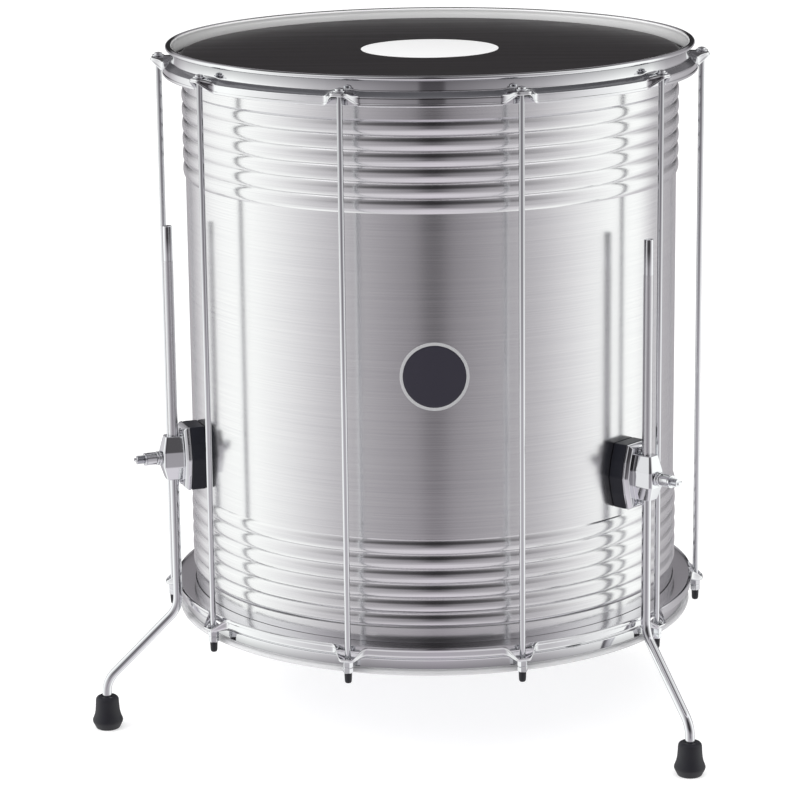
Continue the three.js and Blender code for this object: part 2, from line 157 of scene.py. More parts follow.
def plug(tree, wire, shader, socket):
    tree.links.new(wire.socket, shader.inputs[socket])


def bump(tree, shader, height, strength, distance):
    made = node(tree, "ShaderNodeBump", inputs={"Strength": strength, "Distance": distance, "Height": height})
    plug(tree, made, shader, "Normal")


def radius_of(tree):
    """Distance of the shaded point from the drum's axis, in metres."""
    place = node(tree, "ShaderNodeTexCoord", output="Object")
    flat = node(tree, "ShaderNodeVectorMath", {"operation": "MULTIPLY"}, {0: place, 1: (1, 1, 0)})
    return node(tree, "ShaderNodeVectorMath", {"operation": "LENGTH"}, {0: flat}, output="Value")


def blended(tree, share, first, second):
    """Colour that goes from the first to the second. Either may be a wire."""
    ends = [end if isinstance(end, Wire) else (*end, 1) for end in (first, second)]
    return node(tree, "ShaderNodeMix", {"data_type": "RGBA"}, {0: share, 6: ends[0], 7: ends[1]}, output=2)


print("material helper ready")


# %% [markdown]
# Chrome plate is almost a mirror. What makes it look like metal and not like a perfect
# ball bearing is that the polish underneath is slightly wavy and slightly uneven, so
# noise moves the roughness a little and bends the normal by a hair. Where a corner runs
# inwards, as in a thread, Pointiness finds it and darkens the colour: dirt, and painted shade.

# %% Chrome
# Inward corners get a darker base colour: part dirt, part painted shade.
DIRT_AND_SHADE = (0.12, 0.12, 0.13)
DIRT_AND_SHADE_UNTIL, DIRT_AND_SHADE_FADE = 0.40, 0.08


def chrome(name, colour=(0.80, 0.81, 0.83), roughness=0.04, wave=0.02):
    material, tree, shader = finish(name, colour, roughness, Metallic=1)
    cloud = noise(tree, scale=35)
    plug(tree, cloud * 0.05 + (roughness - 0.02), shader, "Roughness")
    bump(tree, shader, noise(tree, scale=60, detail=1), strength=wave, distance=0.0004)
    edge = node(tree, "ShaderNodeNewGeometry", output="Pointiness")
    # Pointiness darkens the base colour in inward corners as dirt and painted shade.
    clean_and_unshaded = ((edge - DIRT_AND_SHADE_UNTIL) / DIRT_AND_SHADE_FADE).math("MAXIMUM", 0).math("MINIMUM", 1)
    bright = blended(tree, clean_and_unshaded, DIRT_AND_SHADE, colour)
    plug(tree, bright, shader, "Base Color")
    return material, tree, shader, bright


CHROME = chrome("chrome_plate")[0]
print(CHROME.name)

# %% [markdown]
# The hoops carry painted light: the inner wall and the lowest edge are painted pale and
# less metallic as a painted highlight, and the step under the rolled rim is painted dark
# as painted shade. The distance from the axis and the height tell the shader where it is
# on the hoop. The knurled part of a leg is chrome too, but its teeth scatter light.

# %% Chrome of the hoops and the knurl
PALE_INSIDE, PALE_BELOW = 261.2 * MM, -570.8 * MM
STEP_INNER, STEP_OUTER = 262.3 * MM, 268.8 * MM
STEP_TOP, STEP_FOOT = -4.5 * MM, -10.6 * MM
# Painted colours: the pale inside and the grey lowest edge are painted highlight, the dark step is painted
# shade.
INSIDE_PAINTED_LIGHT, LOW_EDGE_PAINTED_LIGHT, STEP_PAINTED_SHADE = (0.95, 0.95, 0.95), (0.58, 0.58, 0.59), (0.10, 0.10, 0.11)
PALE_LOSS, STEP_LOSS = 0.85, 0.8
HOOP_CHROME, tree, shader, bright = chrome("hoop_chrome", (0.78, 0.785, 0.80), roughness=0.06, wave=0.03)
radius = radius_of(tree)
place = node(tree, "ShaderNodeTexCoord", output="Object")
height = node(tree, "ShaderNodeSeparateXYZ", inputs={"Vector": place}, output="Z")
inside, low = radius.math("LESS_THAN", PALE_INSIDE), height.math("LESS_THAN", PALE_BELOW)
step = radius.math("GREATER_THAN", STEP_INNER) * radius.math("LESS_THAN", STEP_OUTER)
step = step * height.math("LESS_THAN", STEP_TOP) * height.math("GREATER_THAN", STEP_FOOT)
# Painted light: inner wall and lowest edge lose metal and turn pale as painted highlight; the step under the
# roll turns dark as painted shade.
plug(tree, 1 - inside.math("MAXIMUM", low) * PALE_LOSS - step * STEP_LOSS, shader, "Metallic")
colour = blended(tree, low, blended(tree, inside, bright, INSIDE_PAINTED_LIGHT), LOW_EDGE_PAINTED_LIGHT)
plug(tree, blended(tree, step, colour, STEP_PAINTED_SHADE), shader, "Base Color")
KNURLED = finish("knurled_chrome", (0.74, 0.74, 0.76), roughness=0.26, Metallic=1)[0]
print(HOOP_CHROME.name, KNURLED.name)


# %% [markdown]
# The shell is rolled aluminium sheet, brushed along its length of travel, so the grain
# runs round the drum. Fine scratches along one direction spread a reflection across
# them: that is anisotropy. The noise is squeezed in Z, which draws it out into long
# horizontal streaks, and only tints and roughens the metal a little.

# %% Brushed aluminium
SHELL_METAL, tree, shader = finish(
    "brushed_aluminium", (0.80, 0.80, 0.81), roughness=0.26, Metallic=1, Anisotropic=0.5
)
GRAIN_TINTS = [(0.25, (0.735, 0.735, 0.75)), (0.75, (0.83, 0.83, 0.835))]
grain = noise(tree, scale=6, detail=6, stretch=(1, 1, 160))
cloud = noise(tree, scale=5, detail=2)
plug(tree, grain * 0.08 + (cloud * 0.06 + 0.11), shader, "Roughness")
tint = node(tree, "ShaderNodeValToRGB", {"stops": GRAIN_TINTS}, {"Fac": grain})
plug(tree, tint, shader, "Base Color")
bump(tree, shader, grain, strength=0.05, distance=0.0003)
RING_METAL = finish("plain_ring", (0.74, 0.735, 0.76), roughness=0.14, Metallic=1)[0]
print(SHELL_METAL.name, RING_METAL.name)


# %% [markdown]
# The head is black film with a fine cast surface. It isn't evenly matt: faint long
# streaks from drawing the film catch the light. Black pieces near it are a matt moulded
# plastic, and rubber that scatters more. The lower head is clear film: where it lies on
# its metal ring it looks like metal.

# %% Film, plastic and rubber
METAL_UNDER_FILM = 255 * MM
FILM, tree, shader = finish("black_film", (0.010, 0.0085, 0.009), roughness=0.38, Specular_IOR_Level=0.12)
streak = noise(tree, scale=5, detail=5, stretch=(1, 14, 1))
plug(tree, streak * 0.16 + 0.30, shader, "Roughness")
bump(tree, shader, noise(tree, scale=420), strength=0.10, distance=0.0002)
PLASTIC, tree, shader = finish(
    "black_plastic", (0.010, 0.011, 0.017), roughness=0.42, Specular_IOR_Level=0.4
)
bump(tree, shader, noise(tree, scale=900), strength=0.12, distance=0.0002)
CLEAR, tree, shader = finish("clear_film", (0.74, 0.74, 0.77), roughness=0.22)
plug(tree, radius_of(tree).math("GREATER_THAN", METAL_UNDER_FILM) * 0.85, shader, "Metallic")
RUBBER, tree, shader = finish("black_rubber", (0.009, 0.009, 0.013), roughness=0.55)
bump(tree, shader, noise(tree, scale=500, detail=3), strength=0.15, distance=0.0003)
WHITE = finish("white_print", (0.82, 0.82, 0.82), roughness=0.5)[0]
BADGE = finish("badge_enamel", (0.026, 0.024, 0.035), roughness=0.3, Specular_IOR_Level=0.3)[0]
BADGE_SILVER = finish("badge_silver", (0.42, 0.42, 0.43), roughness=0.45, Metallic=0.15)[0]
print("dark finishes ready")


# %% [markdown]
# Most of the drum is turned or pressed from sheet, so most pieces are a row of rings
# skinned into a closed surface. `skin` gives plain lists of corners and faces. `solid`
# turns such lists into an object and marks an edge as sharp only where the surface
# really breaks, so curves stay smooth. `faced_out` does the same for a skin whose rings
# may run either way, and turns its faces outwards.

# %% Skins from rings
def solid(name, verts, faces, material, crease=32):
    mesh = bpy.data.meshes.new(name)
    mesh.from_pydata([tuple(v) for v in verts], [], faces)
    mesh.materials.append(material)
    mesh.polygons.foreach_set("use_smooth", [True] * len(mesh.polygons))
    mesh.set_sharp_from_angle(angle=math.radians(crease))
    thing = bpy.data.objects.new(name, mesh)
    bpy.context.scene.collection.objects.link(thing)
    return thing


def faced_out(name, verts, faces, material, crease):
    """A closed skin whose faces are all turned outwards."""
    thing = solid(name, verts, faces, material, crease)
    work = bmesh.new()
    work.from_mesh(thing.data)
    bmesh.ops.recalc_face_normals(work, faces=work.faces)
    work.to_mesh(thing.data)
    work.free()
    thing.data.set_sharp_from_angle(angle=math.radians(crease))
    return thing


def skin(rings, looped=False):
    """Corners and faces of rings of points. A ring of one point is a pole."""
    verts = [p for ring in rings for p in ring]
    starts = [sum(len(r) for r in rings[:i]) for i in range(len(rings))]
    faces = []
    pairs = [(i, i + 1) for i in range(len(rings) - 1)] + ([(len(rings) - 1, 0)] if looped else [])
    for low, high in pairs:
        a, b, n, m = starts[low], starts[high], len(rings[low]), len(rings[high])
        for j in range(max(n, m)):
            k = (j + 1) % max(n, m)
            if n == 1:
                faces.append((a, b + k, b + j))
            elif m == 1:
                faces.append((a + j, a + k, b))
            else:
                faces.append((a + j, a + k, b + k, b + j))
    if not looped:
        if len(rings[0]) > 1:
            faces.append(tuple(reversed(range(len(rings[0])))))
        if len(rings[-1]) > 1:
            faces.append(tuple(range(starts[-1], len(verts))))
    return verts, faces


print("skin helpers ready")


# %% [markdown]
# A turned piece is a profile spun round an axis. A profile is a list of corners, each
# with a radius, a height and the fillet that eases it, and it runs up the outside of the
# piece. Corners are easiest to read in millimetres, so `in_mm` turns them into metres and
# lifts them to where the piece starts.

# %% Profiles
def in_mm(corners, start=0.0):
    """Corners (radius, height above the start, fillet) in millimetres, as metres."""
    return [(r * MM, start + z * MM, fillet * MM) for r, z, fillet in corners]


def rounded(corners, steps=4):
    """Profile whose corners (radius, height, fillet) are eased by their fillet."""
    points = []
    for i, (r, z, fillet) in enumerate(corners):
        here = Vector((r, z))
        if not fillet or i in (0, len(corners) - 1):
            points.append((r, z))
            continue
        before = Vector(corners[i - 1][:2]) - here
        after = Vector(corners[i + 1][:2]) - here
        start = here + before.normalized() * min(fillet, before.length * 0.49)
        stop = here + after.normalized() * min(fillet, after.length * 0.49)
        points += [tuple(p) for p in eased_corner(start, here, stop, steps)]
    return points


def eased_corner(start, here, stop, steps):
    """Points of the curve that leaves the start towards a corner and arrives at the stop."""
    shares = [j / steps for j in range(steps + 1)]
    return [start * (1 - t) ** 2 + here * (2 * t * (1 - t)) + stop * t**2 for t in shares]


def circle(radius, height, sides=12, phase=0.0):
    turns = [2 * math.pi * (j + phase) / sides for j in range(sides)]
    return [Vector((radius * math.cos(t), radius * math.sin(t), height)) for t in turns]


def turned(profile, sides):
    """A profile of (radius, height), up its outside, spun round Z."""
    rings = [circle(radius, height, sides if radius > 1e-6 else 1) for radius, height in profile]
    looped = profile[0] == profile[-1]
    return skin(rings[:-1], looped=True) if looped else skin(rings)


def moved(verts, matrix):
    return [matrix @ Vector(v) for v in verts]


def at_bearing(bearing):
    """Turns a piece that is modelled along +X so that +X points away at a bearing."""
    return Matrix.Rotation(math.radians(bearing - 90), 4, "Z")


print("profile helpers ready")


# %% [markdown]
# The shell: a plain tube with six rolled beads near each end. Each bead is a low round
# ridge and the valley between two beads is sharp, because that is how the rollers leave
# it. A long profile spun round Z gives both, and the two bearing edges turn inwards
# under the heads. Sculpting or a displacement map would not keep the beads so even.

# %% Shell
BEADS, BEAD_PITCH, BEAD_RISE, BEAD_INSET = 6, 15 * MM, 2.3 * MM, 33.6 * MM
BEAD_FULLNESS = 2.6
SHEET, EDGE, TURNED_IN = 1.2 * MM, 0.5 * MM, 4.5 * MM
SHELL_SIDES, OUTER_STEPS, INNER_STEPS = 288, 16, 4


def bead_line(radius, steps):
    line = []
    for i in range(BEADS):
        for j in range(steps):
            t = j / steps
            rise = BEAD_RISE * (1 - abs(2 * t - 1) ** BEAD_FULLNESS)
            line.append((radius + rise, -BEAD_INSET - (i + t) * BEAD_PITCH))
    line.append((radius, -BEAD_INSET - BEADS * BEAD_PITCH))
    return line + [(r, -SPAN - z) for r, z in reversed(line)]


bore = WALL - SHEET
lip = bore - TURNED_IN
outside = [(WALL - EDGE, -SPAN + EDGE), (WALL, -SPAN + 2 * EDGE)] + bead_line(WALL, OUTER_STEPS)[::-1]
top_edge = [(WALL, -2 * EDGE), (WALL - EDGE, -EDGE)]
top_edge += [(lip, -EDGE), (lip, -EDGE - SHEET), (bore, -EDGE - SHEET)]
low_edge = [(bore, -SPAN + EDGE + SHEET), (lip, -SPAN + EDGE + SHEET), (lip, -SPAN + EDGE)]
profile = outside + top_edge + bead_line(bore, INNER_STEPS) + low_edge
shell = solid("beaded_shell", *turned(profile + profile[:1], SHELL_SIDES), SHELL_METAL, crease=25)
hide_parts("shell")
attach(shell, "drum")
print("shell faces", len(shell.data.polygons))

# %% [markdown]
# Each head is a film disc that bends over the bearing edge and runs down into the flesh
# hoop, a metal ring whose thin lip covers the gap beside the shell. The lower set is the
# upper one turned over, so one function makes either. It mirrors the heights and turns
# the profile's order round, so that the profile still runs up its outside.

# %% Heads and flesh hoops
def either_end(profile, lower):
    return [(r, -SPAN - z) for r, z in reversed(profile)] if lower else profile


FILM_THICK, FILM_BEND = 0.5 * MM, 0.4 * MM
COLLAR_OUT, COLLAR_TOP, COLLAR_END = 260.5 * MM, -8.9 * MM, -17.9 * MM
COLLAR_IN = COLLAR_OUT - FILM_THICK
HEAD_SIDES = 192
film_top = rounded(
    [
        (0, -FILM_THICK, 0), (WALL, -FILM_THICK, 1.5 * MM), (COLLAR_IN, COLLAR_TOP, 3 * MM),
        (COLLAR_IN, COLLAR_END, 0), (COLLAR_OUT, COLLAR_END, 0), (COLLAR_OUT, COLLAR_TOP + 0.6 * MM, 3 * MM),
        (WALL + FILM_BEND, 0, 2 * MM), (0, 0, 0),
    ]
)
RING_IN, RING_OUT, LIP_IN = 260.8, 267, 249.9
LIP_TOP, LIP_FOOT = -18.2, -18.8
flesh = rounded(in_mm([
    (RING_IN, -14, 0), (RING_IN, LIP_TOP, 0), (LIP_IN, LIP_TOP, 0), (LIP_IN, LIP_FOOT, 0.2),
    (RING_OUT, LIP_FOOT, 0.8), (RING_OUT, -12.6, 1), (RING_IN, -9.0, 1), (RING_IN, -14, 0),
]))
for end, lower in (("top", False), ("bottom", True)):
    look, name = (CLEAR, "clear_film") if lower else (FILM, "black_film")
    head = solid(end + "_drumhead", *turned(either_end(film_top, lower), HEAD_SIDES), look, crease=40)
    ring = solid(end + "_flesh_ring", *turned(either_end(flesh, lower), HEAD_SIDES), RING_METAL, crease=40)
    for thing, cad, slot in ((head, "_head", name), (ring, "_flesh_hoop", "hoop_ring")):
        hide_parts(end + cad)
        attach(thing, "drum")
print("two heads, two rings")

# %% [markdown]
# The playing head carries a round print on the real drum. Here it is a bare white disc,
# a thin layer of ink with a soft edge to its thickness.

# %% Bare white disc on the head
INK_FOOT, INK_TOP, INK_FILLET = 0.02 * MM, 0.12 * MM, 0.1 * MM
PRINT_RADIUS = 69.5 * MM
ink = [(0, INK_FOOT, 0), (PRINT_RADIUS, INK_FOOT, 0), (PRINT_RADIUS, INK_TOP, INK_FILLET), (0, INK_TOP, 0)]
disc = solid("head_print_disc", *turned(rounded(ink, steps=2), sides=128), WHITE)
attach(disc, "drum")
print("disc radius", PRINT_RADIUS)


# %% [markdown]
# The counter hoops are the hardest shape on the drum. One sheet of steel is rolled over
# at the rim, drops as a flat band, steps out over the flesh hoop and hangs down as a
# skirt. At each rod the step is drawn straight out as an ear, and the skirt's edge lifts
# into an arch. So there are two sections, skirt and ear, with the same number of points,
# and the hoop is skinned through a blend of the two that depends on how far each ring is
# from the nearest rod.

# %% Hoop sections
BAND, HOOP_SHEET = 262, 1.6 * MM
ROLL_WIDE, ROLL_HIGH = 3.15 * MM, 2.6 * MM
ROLL_START, ROLL_STEP, ROLL_POINTS = 205, 20, 15
roll_centre = Vector((BAND * MM - HOOP_SHEET + ROLL_WIDE, RIM - ROLL_HIGH))


def offset(path, distance):
    """The path moved to its left by a distance."""
    out = []
    for i, p in enumerate(path):
        along = (path[min(i + 1, len(path) - 1)] - path[max(i - 1, 0)]).normalized()
        out.append(p + Vector((-along.y, along.x)) * distance)
    return out


def hoop_section(corners):
    """The rolled rim, the sheet's outer side down to its edge, and its inner side back up."""
    turns = [math.radians(ROLL_START - ROLL_STEP * j) for j in range(ROLL_POINTS)]
    roll = [roll_centre + Vector((math.cos(t) * ROLL_WIDE, math.sin(t) * ROLL_HIGH)) for t in turns]
    sheet = [Vector(p) for p in rounded(in_mm(corners), steps=6)]
    under = offset(sheet, -HOOP_SHEET)
    return roll + sheet + under[::-1]


SKIRT_PATH = [
    (BAND, 4.4, 0), (BAND, -5.5, 1.3), (269.3, -10.2, 1.8), (269.3, -16.2, 0.5), (270.1, -16.9, 0.6),
    (270.1, -18.6, 0.6), (269.5, -19.2, 0),
]
EAR_PATH = [
    (BAND, 4.4, 0), (BAND, -4.6, 1.6), (281.4, -5.0, 3.0), (281.9, -7.0, 0.5), (282.4, -7.3, 0.3),
    (282.4, -8.2, 0.3), (282.1, -8.6, 0),
]
skirt_section, ear_section = hoop_section(SKIRT_PATH), hoop_section(EAR_PATH)
print("points in a hoop section", len(skirt_section), len(ear_section))

# %% [markdown]
# How far an ear has risen is 1 over the rod and 0 a finger's width away. A cosine raised
# to a power gives flanks that leave the skirt gently and are steep half way up, like
# metal drawn over a tool. Rings are packed close across each ear and wider between ears.

# %% Counter hoops
EAR_FLAT, EAR_HALF, EAR_STEEPNESS = 4.5 * MM, 19.5 * MM, 2.6
EAR_STEPS, PLAIN_STEPS = 28, 14


def ear_share(away):
    t = min(max((away - EAR_FLAT) / (EAR_HALF - EAR_FLAT), 0), 1)
    return math.cos(t * math.pi / 2) ** EAR_STEEPNESS


def hoop_ring(turn, share):
    """The hoop's section at a bearing in radians, with the ear risen by a share."""
    section = [a.lerp(b, share) for a, b in zip(skirt_section, ear_section)]
    return [Vector((p.x * math.sin(turn), -p.x * math.cos(turn), p.y)) for p in section]


def hoop_rings():
    sector, rings = 360 / ROD_COUNT, []
    half = math.degrees(EAR_HALF / ROD_CIRCLE)
    offsets = [-half + 2 * half * j / EAR_STEPS for j in range(EAR_STEPS + 1)]
    offsets += [half + (sector - 2 * half) * j / PLAIN_STEPS for j in range(1, PLAIN_STEPS)]
    for i in range(ROD_COUNT):
        for bearing in offsets:
            share = ear_share(abs(math.radians(bearing)) * ROD_CIRCLE) if abs(bearing) <= half else 0
            rings.append(hoop_ring(math.radians(FIRST_ROD + i * sector + bearing), share))
    return rings


for end, lower in (("top", False), ("bottom", True)):
    rings = hoop_rings()
    if lower:
        rings = [[Vector((p.x, p.y, -SPAN - p.z)) for p in ring] for ring in rings]
    hoop = faced_out(end + "_counter_hoop", *skin(rings, looped=True), HOOP_CHROME, crease=38)
    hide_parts(end + "_hoop")
    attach(hoop, "drum")
print("hoop faces", len(hoop.data.polygons))


# %% [markdown]
# Ten rods, ten caps and three sets of bracket pieces repeat round the drum. Geometry
# Nodes copy one master: a row of points that all lie on the axis, an instance on each,
# and each instance turned a little further. The copies are made real at the end, since
# an exported model can't keep instances. `with_nodes` runs such a tree on an object.

# %% Ring of copies
def geometry_tree(name, sockets):
    """An empty geometry tree and its inputs as wires."""
    tree = bpy.data.node_groups.new(name, "GeometryNodeTree")
    for label, kind in (("Geometry", "Geometry"), *sockets, ("Finish", "Material")):
        tree.interface.new_socket(label, in_out="INPUT", socket_type="NodeSocket" + kind)
    tree.interface.new_socket("Geometry", in_out="OUTPUT", socket_type="NodeSocketGeometry")
    entry = tree.nodes.new("NodeGroupInput")
    return tree, {s.name: Wire(tree, s) for s in entry.outputs if s.name}


def sent_out(tree, geometry, material):
    """Gives the geometry its material and makes it the tree's output."""
    done = node(tree, "GeometryNodeSetMaterial", inputs={"Geometry": geometry, "Material": material})
    tree.links.new(done.socket, tree.nodes.new("NodeGroupOutput").inputs["Geometry"])


def with_nodes(thing, tree, values):
    """Runs a geometry tree on an object and keeps the result as its plain mesh."""
    modifier = thing.modifiers.new("nodes", "NODES")
    modifier.node_group = tree
    names = {s.name: s.identifier for s in tree.interface.items_tree if s.in_out == "INPUT"}
    for label, value in values.items():
        modifier[names[label]] = value
    graph = bpy.context.evaluated_depsgraph_get()
    mesh = bpy.data.meshes.new_from_object(thing.evaluated_get(graph))
    thing.modifiers.remove(modifier)
    thing.data = mesh
    return thing


ring_tree, given = geometry_tree("ring_of_copies", (("Copies", "Int"), ("First bearing", "Float")))
share = node(ring_tree, "GeometryNodeInputIndex") / given["Copies"]
turn = share * (2 * math.pi) + given["First bearing"] * math.radians(1)
spin = node(ring_tree, "ShaderNodeCombineXYZ", inputs={"Z": turn})
row = node(ring_tree, "GeometryNodeMeshLine", inputs={"Count": given["Copies"], "Offset": (0, 0, 0)})
copies = node(
    ring_tree, "GeometryNodeInstanceOnPoints",
    inputs={"Points": row, "Instance": given["Geometry"], "Rotation": spin},
)
real = node(ring_tree, "GeometryNodeRealizeInstances", inputs={"Geometry": copies})
sent_out(ring_tree, real, given["Finish"])


def ring_of(master, count, first, material):
    return with_nodes(master, ring_tree, {"Copies": count, "First bearing": float(first), "Finish": material})


print("ring tree nodes", len(ring_tree.nodes))

# %% [markdown]
# A tension rod is a long bright bar with a washer and a low domed head that sits on the
# upper ear. The cap is a soft black sleeve with a round end, pushed over the end of the
# rod under the nut.

# %% Rods and caps
NUT_TOP = -SPAN - EAR_TOP - GAP
NUT_HEIGHT = 11.1 * MM
CAP_TOP = NUT_TOP - NUT_HEIGHT - GAP
CAP_END = CAP_TOP - 10.3 * MM
CAP_MOUTH, CAP_FLOOR = 3.0 * MM, CAP_TOP - 2 * MM
ROD_END = CAP_END + 2.4 * MM
SEAT = EAR_TOP + 0.1 * MM
front_rod = Matrix.Translation((0, -ROD_CIRCLE, 0))
numbers = ["%02d" % (i + 1) for i in range(ROD_COUNT)]
bar = [(0, ROD_END, 0), (ROD_RADIUS, ROD_END, 0.4 * MM), (ROD_RADIUS, SEAT, 0)]
washer_and_dome = in_mm([(6.2, 0, 0.4), (6.2, 1.2, 0.6), (4.3, 1.4, 0.2), (4.1, 3.0, 1.8), (0, 4.0, 0)], SEAT)
verts, faces = turned(rounded(bar + washer_and_dome), sides=24)
rod = solid("tension_rods", moved(verts, front_rod), faces, CHROME, crease=30)
rods = ring_of(rod, ROD_COUNT, FIRST_ROD, CHROME)
cap_profile = [
    (0, CAP_END, 0), (3.4 * MM, CAP_END, 3 * MM), (3.8 * MM, CAP_TOP, 0.4 * MM), (CAP_MOUTH, CAP_TOP, 0),
    (CAP_MOUTH, CAP_FLOOR, 0), (0, CAP_FLOOR, 0),
]
verts, faces = turned(rounded(cap_profile), sides=24)
cap = solid("rod_caps", moved(verts, front_rod), faces, RUBBER, crease=30)
caps = ring_of(cap, ROD_COUNT, FIRST_ROD, RUBBER)
for thing, stem, slot in ((rods, "tension_rod_", "chrome"), (caps, "rod_cap_", "black_rubber")):
    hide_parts(*[stem + n for n in numbers])
    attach(thing, "drum")
print("rods and caps", len(rods.data.polygons), len(caps.data.polygons))


# %% [markdown]
# Each nut turns on its own rod, so it is an object of its own. It looks like two hexagon
# nuts on top of each other with a groove between. A hexagon ring whose corners are cut
# off slightly keeps crisp flats and still catches light on its edges.

# %% Tuning nuts
NUT_FLATS, NUT_END_FLATS, NUT_EASE, HALF_GROOVE = 4.68 * MM, 4.25 * MM, 0.5 * MM, 0.25 * MM


def hex_ring(flats, chamfer, height):
    """Twelve points: a hexagon of that half width over its flats, its corners eased."""
    corners = circle(flats / math.cos(math.pi / 6), height, sides=6)
    ring = []
    for i, here in enumerate(corners):
        ring += [here.lerp(near, chamfer) for near in (corners[i - 1], corners[(i + 1) % 6])]
    return ring


def hex_bar(flats, end_flats, low, high, ease):
    """Four rings of a hexagon bar, narrower and with rounder corners at both its ends."""
    return [
        hex_ring(end_flats, 0.10, low), hex_ring(flats, 0.07, low + ease),
        hex_ring(flats, 0.07, high - ease), hex_ring(end_flats, 0.10, high),
    ]


def nut_rings():
    rings = []
    half, bore = NUT_HEIGHT / 2, ROD_RADIUS + GAP
    for base in (NUT_TOP - NUT_HEIGHT, NUT_TOP - half + HALF_GROOVE):
        rings += hex_bar(NUT_FLATS, NUT_END_FLATS, base, base + half - HALF_GROOVE, NUT_EASE)
    return rings + [circle(bore, end, phase=-0.5) for end in (NUT_TOP, NUT_TOP - NUT_HEIGHT)]


for i, number in enumerate(numbers):
    bearing = math.radians(FIRST_ROD + 360 / ROD_COUNT * i)
    place = Matrix.Rotation(bearing, 4, "Z") @ front_rod
    verts, faces = skin(nut_rings(), looped=True)
    nut = faced_out("nut_" + number + "_hex", moved(verts, place), faces, CHROME, crease=20)
    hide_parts("tuning_nut_" + number)
    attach(nut, "nut_" + number)
print("ten nuts")


# %% [markdown]
# A leg bracket stands on a thick black pad whose back follows the round shell. The pad
# and the chrome casting have many flat facets with softened edges. Blender's Bevel
# modifier rounds such edges evenly, which is how a casting differs from a cut block. The
# bores come from Boolean modifiers, since a drilled hole is just what they make.

# %% Facets, bores and bevels
def faceted(name, rings, material):
    return faced_out(name, *skin(rings), material, crease=12)


def applied(thing):
    graph = bpy.context.evaluated_depsgraph_get()
    mesh = bpy.data.meshes.new_from_object(thing.evaluated_get(graph))
    thing.modifiers.clear()
    thing.data = mesh
    return thing


def cut(thing, tool, operation="DIFFERENCE"):
    modifier = thing.modifiers.new("cut", "BOOLEAN")
    modifier.operation, modifier.solver, modifier.object = operation, "EXACT", tool
    applied(thing)
    bpy.data.objects.remove(tool)
    return thing


def eased(thing, width):
    """Rounds every edge between two facets that meet at more than six degrees."""
    modifier = thing.modifiers.new("ease", "BEVEL")
    modifier.width, modifier.segments, modifier.limit_method = width, 3, "ANGLE"
    modifier.angle_limit = math.radians(6)
    return applied(thing)


def flats_kept(thing):
    """Shades the rounded edges smoothly and keeps each large face flat."""
    thing.data.polygons.foreach_set("use_smooth", [True] * len(thing.data.polygons))
    thing.data.set_sharp_from_angle(angle=math.radians(40))
    modifier = thing.modifiers.new("weighted", "WEIGHTED_NORMAL")
    modifier.keep_sharp = True
    return applied(thing)


def rod_between(name, radius, start, stop, sides=48):
    """A plain round rod, used as a tool to cut with."""
    start, stop = Vector(start), Vector(stop)
    turn = (stop - start).to_track_quat("Z", "Y").to_matrix().to_4x4()
    rings = [moved(circle(radius, 0, sides), Matrix.Translation(p) @ turn) for p in (start, stop)]
    return faced_out(name, *skin(rings), PLASTIC, crease=30)


print("facet helpers ready")

# %% [markdown]
# Seen from outside, the pad is a ten-sided plate that is widest half way up, and the
# casting's flange has the same outline with a bevelled rim. Seen from the side, the boss
# has three facets: it is straight in the middle and leans in at the top and bottom. Its
# outer corners are cut. The leg runs through an upright bore.

# %% Bracket pads and castings
PAD_BACK, PAD_FACE, PAD_EASE = 244 * MM, 263.9 * MM, 1.1 * MM
PAD_HALF_WIDTH, PAD_HALF_HEIGHT = 22.6 * MM, 32.6 * MM
WIDTH_BETWEEN, WIDTH_AT_ENDS = 0.88, 0.67
BACK = PAD_FACE + GAP
FLANGE_STEP, FLANGE_THICK, FLANGE_INSET = 3.2 * MM, 6.3 * MM, 3 * MM
BOSS_REACH, BOSS_HALF_HEIGHT, BOSS_HALF_WIDTH, ROOT_HALF_WIDTH = 12.9 * MM, 22.7 * MM, 10.8 * MM, 12.6 * MM
BOSS_LEVELS = ((-1, 0.66, 0.66), (-0.38, 1, 1), (0.3, 1, 1), (1, 0.64, 0.72))
CORNER_REACH, FACE_WIDTH = 0.86, 0.8
CASTING_EASE, BORE_GAP = 0.9 * MM, 0.35 * MM


def pad_ring(x, inset):
    w, h = PAD_HALF_WIDTH - inset, PAD_HALF_HEIGHT - inset
    between, end = w * WIDTH_BETWEEN, w * WIDTH_AT_ENDS
    half = [(w, 0), (between, h / 2), (end, h), (-end, h), (-between, h / 2)]
    shape = half + [(-y, -z) for y, z in half]
    return [Vector((x, y, z + BRACKET)) for y, z in shape]


def boss_ring(level, width, reach):
    """The boss's outline at a level of its height, with a share of its width and reach."""
    w, root = BOSS_HALF_WIDTH * width, ROOT_HALF_WIDTH * width
    out, corner = LEG_CIRCLE + BOSS_REACH * reach, LEG_CIRCLE + BOSS_REACH * reach * CORNER_REACH
    foot = BACK + FLANGE_STEP
    face = w * FACE_WIDTH
    shape = [(foot, -root), (corner, -w), (out, -face), (out, face), (corner, w), (foot, root)]
    return [Vector((x, y, level * BOSS_HALF_HEIGHT + BRACKET)) for x, y in shape]


